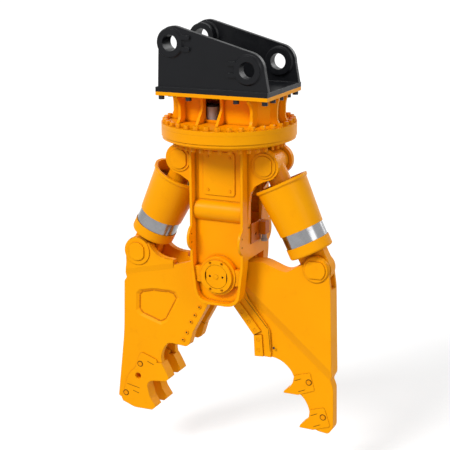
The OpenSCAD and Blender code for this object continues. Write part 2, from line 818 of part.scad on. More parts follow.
module cover_screws() {
    placed() color("#d98c00") both_faces()
        for (sx = [-1, 1], z = [screw_inset, cover_h - screw_inset])
            at(sx * (cover_w / 2 - screw_inset), drop(cover_drop) - z)
                y_rod(screw_r, -web_out - pad_t - cover_t - screw_h, -web_out - pad_t - cover_t);
}
module main_pin() {
    placed() at_pivot() color("#b9bcc0")
        y_rod(main_pin_d / 2, recess_deep - hub_out, hub_out - recess_deep);
}
module hub_cap() {
    xz(-hub_out + recess_deep - cap_t, -hub_out + recess_deep) difference() {
        intersection() {
            circle(r = cap_r);
            translate([-cap_flat, -cap_r]) square([2 * cap_flat, 2 * cap_r]);
        }
        for (s = [-1, 1]) translate([s * cap_hole_x, 0]) circle(r = cap_hole_r);
    }
    y_rod(cap_button_r, -hub_out + recess_deep - cap_t - cap_button_proud, -hub_out + recess_deep);
}
module hub_caps() {
    placed() at_pivot() color("#ffa500") both_faces() hub_cap();
}
module hub_cap_bolts() {
    placed() at_pivot() color("#d98c00") both_faces()
        for (sx = [-1, 1], sz = [-1, 1])
            at(sx * hub_bolt_x, sz * hub_bolt_z) difference() {
                y_rod(hub_bolt_r, hub_bolt_sunk - hub_out, hub_bolt_sunk + hub_bolt_h - hub_out);
                y_rod(hub_bolt_key_r, -hub_out, hub_bolt_sunk + hub_bolt_h / 2 - hub_out);
            }
}
module top_pin() {
    face = shoulder_out + shoulder_boss_proud;
    color("#ffa500") at(top_pin_x, top_pin_z) {
        y_rod(top_pin_d / 2, -face, face);
        both_faces() xz(-face - top_cap_t, -face) intersection() {
            circle(r = top_cap_r);
            translate([-top_cap_flat, -top_cap_r]) square([2 * top_cap_flat, 2 * top_cap_r]);
        }
    }
}
module upper_pin_left() {
    placed() leftward() top_pin();
}
module upper_pin_right() {
    placed() top_pin();
}
module port_block() {
    color("#7a5a3a") difference() {
        union() {
            translate([rail_half, -block_pad_front, drop(block_drop + block_pad_h)])
                cube([block_pad_t, block_pad_front + block_pad_back, block_pad_h]);
            translate([rail_half, block_y, drop(block_drop + block_h) - block_pad_t])
                cube([block_out, block_w, block_h]);
        }
        translate([rail_half - over, -block_pad_front / 4, drop(block_drop + block_pad_h * 0.6)])
            rotate([0, 90, 0]) cylinder(r = port_hole_r, h = block_pad_t + 2 * over);
    }
}
module port_stub() {
    translate([rail_half + block_out / 2 + block_pad_t / 2, block_y + block_w / 2,
        drop(block_drop + block_h) - block_pad_t - stub_l]) {
        color("#6d7075") cylinder(r = stub_r, h = stub_l);
        color("#202124") translate([0, 0, -stub_nut_h]) cylinder(r = stub_nut_r, h = stub_nut_h);
    }
}
module port_block_left() {
    placed() leftward() port_block();
}
module port_block_right() {
    placed() port_block();
}
module port_stub_left() {
    placed() leftward() port_stub();
}
module port_stub_right() {
    placed() port_stub();
}
module washer(y) {
    difference() {
        y_rod(washer_r, y, y + washer_t - side_gap / 2);
        y_rod(main_pin_d / 2 + run_fit, y - over, y + washer_t + over);
    }
}
module thrust_washers() {
    placed() at_pivot() color("#a9863a") both_faces() {
        washer(narrow_hub_half + side_gap * 0.75);
        washer(wide_out + side_gap / 4);
    }
}

// Wide jaw, drawn with X outwards and its front plate at negative Y
module wide_outline() {
    difference() {
        union() {
            circle(r = hub_disc_r);
            translate(jaw_pin_at) circle(r = wide_boss_r);
            difference() {
                polygon(soft(scaled(wide_plate_shares)));
                translate(arch_share * jaw_depth) circle(r = arch_r_share * jaw_depth);
            }
        }
        polygon(soft(scaled(claw_shares)));
    }
}
module jaw_place() {
    placed() at_pivot() leftward() children();
}
module arm_outline() {
    difference() {
        union() {
            translate(jaw_pin_at) circle(r = wide_boss_r - arm_inset);
            polygon(soft(scaled(arm_shares)));
        }
        translate(arch_share * jaw_depth) circle(r = arch_r_share * jaw_depth + arm_inset);
    }
}
// The arm stands proud of the plate and slopes down to its face at the seam
module arm() {
    difference() {
        xz(-wide_out - arm_proud, over - wide_out) arm_outline();
        at(arm_seam_share.x * jaw_depth, arm_seam_share.y * jaw_depth) rotate([0, arm_seam_tilt, 0])
            yz(-jaw_depth, jaw_depth) polygon([[arm_proud - wide_out, -arm_seam_w],
                [-wide_out - 2 * arm_proud, 2 * arm_seam_w], [-wide_out - 2 * arm_proud, -arm_seam_w]]);
    }
}
module pocket() {
    m = pocket_middle_share * jaw_depth;
    p = scaled(pocket_shares);
    hull() {
        xz(-wide_out - over, -wide_out) polygon(p);
        xz(pocket_deep - wide_out - over, pocket_deep - wide_out)
            polygon([for (q = p) m + (q - m) * pocket_draft_share]);
    }
}
module wide_plate() {
    color("#ffa500") difference() {
        union() {
            xz(-wide_out, -wide_in) wide_outline();
            arm();
            at(jaw_pin_at.x, jaw_pin_at.y) {
                y_rod(boss_neck_r, -wide_out + over, -boss_neck_in);
                y_rod(wide_boss_r - boss_step, -wide_out - 2 * arm_proud, -wide_out - arm_proud / 2);
            }
        }
        y_rod(main_pin_d / 2 + bush_t + set_fit, -wide_out - arm_proud - over, 0);
        at(jaw_pin_at.x, jaw_pin_at.y)
            y_rod(jaw_pin_d / 2 + set_fit, -wide_out - 2 * arm_proud - over, 0);
        pocket();
        for (q = concat(upper_bolt_shares, lower_bolt_shares))
            at(q.x * jaw_depth, q.y * jaw_depth)
                y_rod(blade_shank_r + bolt_fit, -wide_out - arm_proud - over, 0);
    }
}
module left_jaw_front_plate() {
    jaw_place() wide_plate();
}
module left_jaw_rear_plate() {
    jaw_place() rearward() wide_plate();
}
module left_jaw_spine() {
    jaw_place() color("#ffa500") xz(-wide_in, wide_in) difference() {
        polygon(soft(scaled(spine_shares)));
        polygon(soft(scaled(claw_shares)));
    }
}
module claw() {
    color("#ffa500") difference() {
        xz(-claw_out, -claw_in) polygon(soft(scaled(claw_shares)));
        for (q = claw_pin_shares)
            at(q.x * jaw_depth, q.y * jaw_depth) y_rod(claw_pin_r + set_fit, -claw_out - over, 0);
        at(claw_eye_share.x * jaw_depth, claw_eye_share.y * jaw_depth)
            y_rod(claw_eye_r, -claw_out - over, 0);
    }
}
module left_front_claw() {
    jaw_place() claw();
}
module left_rear_claw() {
    jaw_place() rearward() claw();
}
module left_jaw_blades() {
    inner = box_half + shear_gap;
    jaw_place() color("#8a8d91") both_faces() difference() {
        xz(-wide_in, -inner) {
            polygon(scaled(upper_blade_shares));
            polygon(scaled(lower_blade_shares));
        }
        for (q = concat(upper_bolt_shares, lower_bolt_shares))
            at(q.x * jaw_depth, q.y * jaw_depth)
                y_rod(blade_shank_r + bolt_fit, -wide_in - over, blade_bolt_bite + bolt_fit - wide_in);
    }
}
module left_blade_bolts() {
    jaw_place() color("#3a3c40") both_faces()
        for (q = concat(upper_bolt_shares, lower_bolt_shares))
            at(q.x * jaw_depth, q.y * jaw_depth) {
                y_rod(blade_bolt_r, -wide_out - blade_bolt_h, -wide_out);
                y_rod(blade_shank_r, -wide_out, blade_bolt_bite - wide_in);
            }
}
module left_claw_pins() {
    jaw_place() color("#d98c00") both_faces()
        for (q = claw_pin_shares)
            at(q.x * jaw_depth, q.y * jaw_depth)
                y_rod(claw_pin_r, -claw_out - claw_pin_proud, -claw_in);
}
module left_jaw_pin() {
    face = wide_out + 2 * arm_proud;
    jaw_place() color("#ffa500") at(jaw_pin_at.x, jaw_pin_at.y) {
        y_rod(jaw_pin_d / 2, -face, face);
        both_faces() xz(-face - jaw_cap_t, -face) intersection() {
            circle(r = jaw_cap_r);
            translate([-jaw_cap_flat, -jaw_cap_r]) square([2 * jaw_cap_flat, 2 * jaw_cap_r]);
        }
    }
}
module left_jaw_bushes() {
    jaw_place() color("#a9863a") both_faces() difference() {
        y_rod(main_pin_d / 2 + bush_t, -wide_out, -wide_in);
        y_rod(main_pin_d / 2 + run_fit, -wide_out - over, over - wide_in);
    }
}

// Narrow jaw
module narrow_outline() {
    difference() {
        union() {
            circle(r = hub_disc_r);
            translate(jaw_pin_at) circle(r = narrow_boss_r);
            polygon(soft(scaled(narrow_shares)));
        }
        polygon(soft(scaled(upper_tooth_shares)));
        polygon(soft(scaled(lower_tooth_shares)));
    }
}
// Everything within the box width above the band and within the tooth plate's below it
module band_profile() {
    far = 2 * jaw_depth;
    translate([band_share.x * jaw_depth, 0, band_share.y * jaw_depth])
        rotate([0, band_tilt, 0]) yz(-far, far)
            polygon([[-tooth_plate_half, -far], [-tooth_plate_half, 0], [-box_half, band_w],
                [-box_half, far], [box_half, far], [box_half, band_w], [tooth_plate_half, 0],
                [tooth_plate_half, -far]]);
}
module narrow_blade_outline() {
    polygon(scaled(narrow_upper_blade_shares));
    polygon(scaled(narrow_lower_blade_shares));
}
module right_jaw_body() {
    x = jaw_pin_at.x;
    z = jaw_pin_at.y;
    placed() at_pivot() color("#ffa500") difference() {
        union() {
            intersection() {
                xz(-box_half, box_half) narrow_outline();
                band_profile();
            }
            xz(-ledge_half, ledge_half) polygon(soft(scaled(ledge_shares)));
            y_rod(narrow_hub_r, -narrow_hub_half, narrow_hub_half);
            both_faces() at(x, z) {
                y_rod(narrow_boss_r - boss_step, -box_half - narrow_boss_proud, -box_half + over);
                y_rod(narrow_ring_r, -box_half - narrow_boss_proud - narrow_ring_proud, -box_half + over);
            }
        }
        y_rod(main_pin_d / 2 + bush_t + set_fit, -narrow_hub_half - over, narrow_hub_half + over);
        at(x, z) {
            y_rod(jaw_pin_d / 2 + set_fit, -box_half - 2 * over - narrow_boss_proud,
                box_half + 2 * over + narrow_boss_proud);
            y_rod(eye_pocket_r, -eye_pocket_half, eye_pocket_half);
            xz(-eye_pocket_half, eye_pocket_half)
                translate([-eye_slot_x, -eye_pocket_r]) square([2 * eye_pocket_r, 2 * eye_pocket_r]);
        }
        both_faces() xz(-box_half - over, -tooth_plate_half) narrow_blade_outline();
        both_faces() for (q = narrow_bolt_shares)
            at(q.x * jaw_depth, q.y * jaw_depth)
                y_rod(blade_shank_r + bolt_fit, -box_half, blade_bolt_bite + bolt_fit - tooth_plate_half);
    }
}
module right_jaw_blades() {
    placed() at_pivot() color("#8a8d91") both_faces() difference() {
        xz(-tooth_plate_half - blade_t, -tooth_plate_half) narrow_blade_outline();
        for (q = narrow_bolt_shares)
            at(q.x * jaw_depth, q.y * jaw_depth) {
                y_rod(blade_shank_r + bolt_fit, -box_half - over, 0);
                y_rod(blade_bolt_r, -box_half - over, blade_bolt_h - tooth_plate_half - blade_t);
            }
    }
}
module right_blade_bolts() {
    placed() at_pivot() color("#3a3c40") both_faces() for (q = narrow_bolt_shares)
        at(q.x * jaw_depth, q.y * jaw_depth) {
            y_rod(blade_shank_r, -tooth_plate_half - blade_t + blade_bolt_h / 2,
                blade_bolt_bite - tooth_plate_half);
            y_rod(blade_bolt_r - bolt_fit, -tooth_plate_half - blade_t + bolt_fit,
                blade_bolt_h - tooth_plate_half - blade_t);
        }
}
module tooth(shares, pin_share) {
    half = tooth_plate_half + tooth_proud;
    color("#ffa500") difference() {
        xz(-half, half) polygon(soft(scaled(shares)));
        at(pin_share.x * jaw_depth, pin_share.y * jaw_depth)
            y_rod(tooth_pin_r + set_fit, -half - over, half + over);
    }
}
module right_upper_tooth() {
    placed() at_pivot() tooth(upper_tooth_shares, tooth_pin_shares[0]);
}
module right_lower_tooth() {
    placed() at_pivot() tooth(lower_tooth_shares, tooth_pin_shares[1]);
}
module right_tooth_pins() {
    half = tooth_plate_half + tooth_proud + claw_pin_proud;
    placed() at_pivot() color("#d98c00") for (q = tooth_pin_shares)
        at(q.x * jaw_depth, q.y * jaw_depth) y_rod(tooth_pin_r, -half, half);
}
module right_jaw_pin() {
    face = box_half + narrow_boss_proud + narrow_ring_proud;
    placed() at_pivot() color("#ffa500") at(jaw_pin_at.x, jaw_pin_at.y) {
        y_rod(jaw_pin_d / 2, -face, face);
        both_faces() xz(-face - jaw_cap_t, -face) intersection() {
            circle(r = narrow_cap_r);
            translate([-narrow_cap_r, -narrow_cap_flat])
                square([2 * narrow_cap_r, 2 * narrow_cap_flat]);
        }
    }
}
module right_jaw_bush() {
    placed() at_pivot() color("#a9863a") difference() {
        y_rod(main_pin_d / 2 + bush_t, -narrow_hub_half, narrow_hub_half);
        y_rod(main_pin_d / 2 + run_fit, -narrow_hub_half - over, narrow_hub_half + over);
    }
}

// Cylinders: the axis runs down from the frame's pin
module along_cylinder() {
    placed() at(top_pin_x, top_pin_z) rotate([0, -cyl_tilt, 0]) children();
}
module rod() {
    color("#c4c7cb") difference() {
        union() {
            y_rod(rod_eye_r, -rod_eye_half, rod_eye_half);
            translate([0, 0, piston_up - cyl_l]) cylinder(d = rod_d, h = cyl_l - piston_up);
            translate([0, 0, piston_up - cyl_l]) cylinder(d = bore_d - 2 * piston_play, h = piston_t);
        }
        y_rod(top_pin_d / 2 + run_fit, -rod_eye_half - over, rod_eye_half + over);
    }
}
module barrel() {
    color("#c9ccd0") translate([0, 0, -cyl_l]) rotate_extrude()
        polygon([[rod_d / 2 + run_fit, head_up], [barrel_d / 2, head_up],
            [barrel_d / 2, cap_rim - socket_deep], [bore_d / 2, cap_rim - socket_deep],
            [bore_d / 2, head_up - head_t], [rod_d / 2 + run_fit, head_up - head_t]]);
}
module guard() {
    rim = barrel_d / 2 + guard_reach;
    foot = guard_up - guard_l;
    tube = barrel_d / 2 + set_fit;
    color("#ffa500") translate([0, 0, -cyl_l]) rotate_extrude()
        polygon([[rim, guard_up], [rim, guard_up - rim_h], [rim - rim_step, guard_up - rim_h - rim_step],
            [barrel_d / 2 + guard_foot_proud, foot], [tube, foot], [tube, foot + guard_foot_h],
            [rim - rim_step - guard_wall, guard_up - rim_h - rim_step],
            [rim - rim_step - guard_wall, guard_up]]);
}
module end_cap() {
    r = barrel_d / 2 + cap_proud;
    socket = cap_rim - socket_deep;
    color("#ffa500") translate([0, 0, -cyl_l]) difference() {
        union() {
            rotate_extrude() polygon(soft([[0, socket], [barrel_d / 2 + set_fit, socket],
                [barrel_d / 2 + set_fit, cap_rim], [r, cap_rim], [r, cap_end, cap_round],
                [0, cap_end]]));
            xz(-eye_half, eye_half) {
                translate([0, -eye_shift]) circle(r = eye_r);
                polygon([[-eye_r, -eye_shift], [eye_r, -eye_shift], [eye_r, cap_end + over],
                    [-eye_r, cap_end + over]]);
            }
        }
        translate([0, 0, -eye_shift])
            y_rod(jaw_pin_d / 2 + eye_play, -eye_half - over, eye_half + over);
    }
}
module left_rod() {
    leftward_cylinder() rod();
}
module left_barrel() {
    leftward_cylinder() barrel();
}
module left_guard() {
    leftward_cylinder() guard();
}
module left_end_cap() {
    leftward_cylinder() end_cap();
}
module leftward_cylinder() {
    placed() leftward() at(top_pin_x, top_pin_z) rotate([0, -cyl_tilt, 0]) children();
}
module right_rod() {
    along_cylinder() rod();
}
module right_barrel() {
    along_cylinder() barrel();
}
module right_guard() {
    along_cylinder() guard();
}
module right_end_cap() {
    along_cylinder() end_cap();
}

bracket_base_plate();
bracket_front_ear();
bracket_rear_ear();
bracket_bolts();
housing_top_plate();
housing_drum();
housing_flange();
housing_bolts();
ring_outer_race();
rotation_motor();
motor_cap();
oil_swivel();
ring_inner_race();
ring_balls();
turntable_flange();
turntable_bolts();
frame_front();
frame_rear();
frame_front_ears();
frame_rear_ears();
frame_left_wall();
frame_right_wall();
inspection_covers();
cover_screws();
main_pin();
hub_caps();
hub_cap_bolts();
upper_pin_left();
upper_pin_right();
port_block_left();
port_block_right();
port_stub_left();
port_stub_right();
thrust_washers();
left_jaw_front_plate();
left_jaw_rear_plate();
left_jaw_spine();
left_front_claw();
left_rear_claw();
left_jaw_blades();
left_blade_bolts();
left_claw_pins();
left_jaw_pin();
left_jaw_bushes();
right_jaw_body();
right_jaw_blades();
right_blade_bolts();
right_upper_tooth();
right_lower_tooth();
right_tooth_pins();
right_jaw_pin();
right_jaw_bush();
left_rod();
left_barrel();
left_guard();
left_end_cap();
right_rod();
right_barrel();
right_guard();
right_end_cap();
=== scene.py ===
import json
import math

import bpy
import bmesh
from mathutils import Matrix, Vector


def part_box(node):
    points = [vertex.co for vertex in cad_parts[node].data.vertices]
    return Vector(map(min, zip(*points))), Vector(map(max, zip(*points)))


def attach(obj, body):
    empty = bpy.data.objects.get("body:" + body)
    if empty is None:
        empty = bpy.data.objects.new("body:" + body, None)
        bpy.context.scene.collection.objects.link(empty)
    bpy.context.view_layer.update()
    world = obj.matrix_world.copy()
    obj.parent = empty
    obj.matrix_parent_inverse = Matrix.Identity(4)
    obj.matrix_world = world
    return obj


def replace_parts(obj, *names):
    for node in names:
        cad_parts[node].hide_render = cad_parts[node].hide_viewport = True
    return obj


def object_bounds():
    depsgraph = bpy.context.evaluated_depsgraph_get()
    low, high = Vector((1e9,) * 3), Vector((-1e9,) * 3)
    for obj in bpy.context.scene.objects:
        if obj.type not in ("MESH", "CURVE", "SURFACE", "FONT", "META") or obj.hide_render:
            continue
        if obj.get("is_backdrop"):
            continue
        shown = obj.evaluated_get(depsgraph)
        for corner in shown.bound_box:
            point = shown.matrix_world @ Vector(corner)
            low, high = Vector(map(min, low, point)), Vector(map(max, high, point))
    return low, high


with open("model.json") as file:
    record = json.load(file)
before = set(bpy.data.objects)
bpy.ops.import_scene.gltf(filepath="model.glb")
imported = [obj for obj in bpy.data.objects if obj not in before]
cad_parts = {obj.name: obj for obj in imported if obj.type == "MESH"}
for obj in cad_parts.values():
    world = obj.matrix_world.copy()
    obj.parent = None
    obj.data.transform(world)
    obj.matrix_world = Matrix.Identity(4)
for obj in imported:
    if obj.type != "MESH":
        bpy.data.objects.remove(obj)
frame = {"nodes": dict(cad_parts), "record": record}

cad_lo, cad_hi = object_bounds()
nodes = frame["nodes"]
scene = bpy.context.scene

# Places in the row frame, in metres: the slewing axis, the ring's top, the main pin and the upper pins
AXIS_X = 0.294
RING_Z = -0.543
PIVOT_Z = RING_Z - 1.055
TOP_PIN = (0.318, RING_Z - 0.266)
TILT = math.atan2(0.350, 0.704)
BARREL_R = 0.150
GLAND_LAP = 0.012

# Faces that carry surface detail, as distances from the mid-plane
CLAW_FACE = 0.140
TOOTH_FACE = 0.042
NARROW_FACE = 0.062
POCKET_FLOOR = 0.114
MOUTH_HALF = 0.03

FRONT, REAR = -1, 1


# ---------------------------------------------------------------- materials
EDGE_DOTS = (0.995, 0.86)
# The next three set the painted shade: a dark colour mixed into corners and narrow gaps by ambient occlusion
OPEN_TO_SHUT = (0.80, 0.22)
SHADE_REACH = 0.034
SHADE_SHARE = 0.9
WHITE = (1.0, 1.0, 1.0, 1.0)


class Tree:
    """The nodes of a material or of the world, with short helpers."""

    def __init__(self, owner, output="ShaderNodeOutputMaterial"):
        owner.use_nodes = True
        self.owner = owner
        self.t = owner.node_tree
        self.t.nodes.clear()
        self.out = self.new(output)

    def new(self, kind, **props):
        n = self.t.nodes.new(kind)
        for k, v in props.items():
            setattr(n, k, v)
        return n

    def link(self, a, b):
        self.t.links.new(a, b)

    def put(self, socket, value):
        if isinstance(value, bpy.types.NodeSocket):
            self.link(value, socket)
        else:
            socket.default_value = value

    def math(self, op, a, b):
        n = self.new("ShaderNodeMath", operation=op)
        self.put(n.inputs[0], a)
        self.put(n.inputs[1], b)
        return n.outputs[0]

    def dot(self, a, b):
        n = self.new("ShaderNodeVectorMath", operation="DOT_PRODUCT")
        self.put(n.inputs[0], a)
        self.put(n.inputs[1], b)
        return n.outputs["Value"]

    def stretch(self, vector, scale, turn=(0, 0, 0)):
        n = self.new("ShaderNodeMapping", vector_type="TEXTURE")
        self.put(n.inputs["Vector"], vector)
        n.inputs["Rotation"].default_value = turn
        n.inputs["Scale"].default_value = tuple(1.0 / s for s in scale)
        return n.outputs["Vector"]

    def noise(self, vector, scale, detail=4.0, rough=0.55, distort=0.0):
        n = self.new("ShaderNodeTexNoise")
        self.put(n.inputs["Vector"], vector)
        n.inputs["Scale"].default_value = scale
        n.inputs["Detail"].default_value = detail
        n.inputs["Roughness"].default_value = rough
        n.inputs["Distortion"].default_value = distort
        return n.outputs["Fac"]

    def span(self, v, a, b, c, d):
        """v from a to b, as c to d and no further."""
        n = self.new("ShaderNodeMapRange", clamp=True)
        for s, x in zip(n.inputs, (v, a, b, c, d)):
            self.put(s, x)
        return n.outputs["Result"]

    def mix(self, fac, a, b):
        n = self.new("ShaderNodeMix", data_type="RGBA")
        self.put(n.inputs[0], fac)
        self.put(n.inputs[6], a)
        self.put(n.inputs[7], b)
        return n.outputs[2]

    def soft_normal(self, radius):
        n = self.new("ShaderNodeBevel", samples=4)
        n.inputs["Radius"].default_value = radius
        return n.outputs["Normal"]

    def edges(self, radius):
        """1 on convex and concave edges, 0 on open faces."""
        geo = self.new("ShaderNodeNewGeometry")
        d = self.dot(self.soft_normal(radius), geo.outputs["Normal"])
        return self.span(d, *EDGE_DOTS, 0.0, 1.0)

    def corner_shade(self):
        """The share of painted shade: most in corners and narrow gaps, 0 on open faces."""
        n = self.new("ShaderNodeAmbientOcclusion", samples=6)
        n.inputs["Distance"].default_value = SHADE_REACH
        return self.math("MULTIPLY", self.span(n.outputs["AO"], *OPEN_TO_SHUT, 0.0, 1.0), SHADE_SHARE)

    def bump(self, height, strength, distance, normal):
        n = self.new("ShaderNodeBump")
        n.inputs["Strength"].default_value = strength
        n.inputs["Distance"].default_value = distance
        self.put(n.inputs["Height"], height)
        self.link(normal, n.inputs["Normal"])
        return n.outputs["Normal"]

    def unlit_ray(self):
        """1 for rays that see or mirror the backdrop, 0 for those that carry its light to the object."""
        path = self.new("ShaderNodeLightPath").outputs
        seen = self.math("MAXIMUM", path["Is Camera Ray"], path["Is Glossy Ray"])
        return self.math("MAXIMUM", seen, path["Is Transmission Ray"])

    def finish(self, color, rough, normal, metallic=0.0, **constants):
        p = self.new("ShaderNodeBsdfPrincipled")
        self.put(p.inputs["Base Color"], color)
        self.put(p.inputs["Roughness"], rough)
        self.put(p.inputs["Metallic"], metallic)
        self.link(normal, p.inputs["Normal"])
        for k, v in constants.items():
            p.inputs[k.replace("_", " ")].default_value = v
        self.link(p.outputs[0], self.out.inputs["Surface"])
        return self.owner


def surface(name):
    """A new material's nodes and its object coordinates."""
    t = Tree(bpy.data.materials.new(name))
    return t, t.new("ShaderNodeTexCoord").outputs["Object"]


def paint(name, base, light, dark, wear_and_highlight, rough=(0.30, 0.44), peel=0.05, edge=0.004, amount=0.35,
          shade_color=None, shine=0.09):
    """Sprayed paint: drifts of tone, dust in patches, painted shade in corners, worn edges that are lightened
    also as painted highlights, and orange peel.
    """
    t, pos = surface(name)
    drift = t.noise(pos, 1.7, 3.0, 0.5)
    patch = t.noise(pos, 11.0, 6.0, 0.62, distort=0.4)
    fine = t.noise(pos, 95.0, 5.0, 0.6)
    c = t.mix(t.span(drift, 0.35, 0.68, 0.0, 1.0), base, light)
    c = t.mix(t.span(patch, 0.56, 0.80, 0.0, 0.22), c, dark)
    # Painted shade: darker where ambient occlusion finds corners and gaps
    if shade_color:
        c = t.mix(t.corner_shade(), c, shade_color)
    # Lighter edges in chipped patches: partly wear, partly painted highlight
    chips = t.span(t.noise(pos, 38.0, 7.0, 0.72), 0.50, 0.60, 0.0, 1.0)
    c = t.mix(t.math("MULTIPLY", t.math("MULTIPLY", t.edges(edge), chips), amount), c, wear_and_highlight)
    r = t.math("ADD", t.span(patch, 0.3, 0.8, *rough), t.span(fine, 0.3, 0.7, -0.03, 0.03))
    n = t.bump(t.noise(pos, 420.0, 2.0, 0.5), peel, 0.0006, t.soft_normal(edge))
    n = t.bump(t.noise(pos, 26.0, 4.0, 0.55), 0.05, 0.002, n)
    return t.finish(c, r, n, Specular_IOR_Level=shine)


def machined(name, base, dark, rough=(0.2, 0.34), axis=(0, 1, 0), lines=520.0, depth=0.10,
             bare_from=None, edge=0.0015):
    """Turned steel: tool marks square to the axis, faint stains and edges lightened as a painted highlight.

    Where bare_from is given, it is painted up to that distance along the axis."""
    t, pos = surface(name)
    along = t.dot(pos, Vector(axis).normalized())
    v = t.new("ShaderNodeCombineXYZ")
    t.put(v.inputs[0], t.math("MULTIPLY", along, lines))
    marks = t.noise(v.outputs[0], 1.0, 3.0, 0.7)
    stain = t.noise(pos, 14.0, 6.0, 0.65, distort=0.6)
    # A lighter copy of the steel for the edges: painted highlight
    edge_highlight = tuple(min(1.0, x * 1.25) for x in base[:3]) + (1.0,)
    c = t.mix(t.span(stain, 0.45, 0.78, 0.0, 0.55), base, dark)
    c = t.mix(t.math("MULTIPLY", t.edges(edge), 0.5), c, edge_highlight)
    r = t.math("ADD", t.span(stain, 0.3, 0.8, *rough), t.span(marks, 0.3, 0.7, -0.05, 0.05))
    n = t.bump(marks, depth, 0.0004, t.soft_normal(edge))
    metal = 1.0
    if bare_from is not None:
        metal = t.span(along, bare_from, bare_from + 0.002, 0.0, 1.0)
        # The painted neck takes painted shade in its corners
        c = t.mix(metal, t.mix(t.corner_shade(), YELLOW, PAINTED_SHADE), c)
        painted = t.math("MULTIPLY", t.math("SUBTRACT", 1.0, metal), 0.4)
        r = t.math("ADD", t.math("MULTIPLY", metal, r), painted)
    return t.finish(c, r, n, metallic=metal, Specular_IOR_Level=0.2)


def rough_steel(name, base, dark, rough, scratch=(30.0, 4.0, 260.0), edge=0.002):
    """Blackened steel with crossing scratches, a darker oil film and bright edges."""
    t, pos = surface(name)
    a = t.noise(t.stretch(pos, scratch), 1.0, 4.0, 0.7)
    b = t.noise(t.stretch(pos, tuple(reversed(scratch)), (0.3, 0.2, 0.5)), 1.0, 4.0, 0.7)
    film = t.noise(pos, 9.0, 5.0, 0.6)
    c = t.mix(t.span(film, 0.42, 0.75, 0.0, 0.7), base, dark)
    c = t.mix(t.math("MULTIPLY", t.edges(edge), 0.6), c, (0.75, 0.75, 0.76, 1.0))
    r = t.math("ADD", t.span(a, 0.3, 0.7, *rough), t.span(b, 0.3, 0.7, -0.05, 0.08))
    n = t.bump(t.math("ADD", a, b), 0.14, 0.0005, t.soft_normal(edge))
    return t.finish(c, r, n, metallic=1.0)


def lin(*rgb):
    """sRGB from 0 to 255 as linear RGBA."""
    shares = (v / 255 for v in rgb)
    return tuple(v / 12.92 if v <= 0.04045 else ((v + 0.055) / 1.055) ** 2.4 for v in shares) + (1.0,)


YELLOW = lin(253, 163, 0)
# The colour of the painted shade in corners and gaps
PAINTED_SHADE = lin(132, 62, 3)
yellow = paint("yellow_paint", YELLOW, lin(255, 170, 0), lin(224, 130, 1), lin(255, 196, 50), shade_color=PAINTED_SHADE)
cast_yellow = paint("cast_yellow_paint", YELLOW, lin(255, 169, 0), lin(222, 128, 1), lin(255, 192, 50),
                    rough=(0.40, 0.55), peel=0.09, edge=0.006, amount=0.5, shade_color=PAINTED_SHADE)
bolt_yellow = paint("bolt_yellow_paint", lin(246, 152, 0), lin(252, 160, 0), lin(200, 106, 2),
                    lin(255, 192, 50), edge=0.002, amount=0.4, shade_color=PAINTED_SHADE)
black = paint("black_paint", lin(8, 9, 12), lin(12, 13, 17), lin(5, 6, 8), lin(56, 60, 66),
              rough=(0.34, 0.5), shine=0.2)
grey = paint("grey_paint", lin(166, 170, 174), lin(180, 183, 187), lin(112, 114, 116), lin(170, 172, 174))
cap_black = paint("cap_black_paint", lin(24, 24, 26), lin(32, 32, 34), lin(15, 15, 17), lin(66, 66, 68),
                  rough=(0.4, 0.55))
brown = paint("block_paint", lin(196, 108, 12), lin(206, 118, 16), lin(128, 70, 18), lin(230, 150, 50),
              shade_color=PAINTED_SHADE)
# A darker orange for the painted shade round the floor of the pockets
pocket_shade = paint("painted_pocket_shade", lin(206, 118, 3), lin(214, 126, 3), lin(168, 88, 4), lin(240, 160, 30),
               rough=(0.45, 0.6))
# Dark orange-brown for painted shade in the gaps round pins and along seams
gap_shade = paint("painted_gap_shade", lin(96, 52, 10), lin(110, 60, 12), lin(60, 34, 8), lin(150, 96, 30),
             rough=(0.5, 0.7))
bolt_black = rough_steel("bolt_black", lin(52, 53, 56), lin(34, 35, 38), (0.36, 0.52))
race = machined("race_steel", lin(150, 152, 155), lin(120, 118, 112), axis=(0, 0, 1))
balls = machined("ball_steel", lin(200, 202, 205), lin(170, 172, 175), (0.08, 0.14), (0, 0, 1), 200.0, 0.02)
pin = machined("pin_steel", lin(165, 166, 168), lin(128, 126, 120))
bronze = machined("bronze", lin(176, 136, 70), lin(120, 88, 44), (0.28, 0.42))

# Each cylinder has its own steel, because the tool marks follow its axis
turned, chrome = {}, {}
for side, s in (("left", -1), ("right", 1)):
    down = Vector((s * math.sin(TILT), 0.0, -math.cos(TILT)))
    gland_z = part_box(side + "_barrel")[1].z - BARREL_R * math.sin(TILT)
    top = Vector((AXIS_X + s * TOP_PIN[0], 0.0, TOP_PIN[1]))
    bare_from = top.dot(down) + (TOP_PIN[1] - gland_z) / math.cos(TILT) - GLAND_LAP
    turned[side] = machined("bare_steel_" + side, lin(150, 150, 152), lin(120, 119, 120),
                            (0.16, 0.26), down, 900.0, 0.05)
    chrome[side] = machined("rod_chrome_" + side, lin(205, 207, 210), lin(180, 182, 186),
                            (0.07, 0.12), down, 1400.0, 0.02, bare_from)

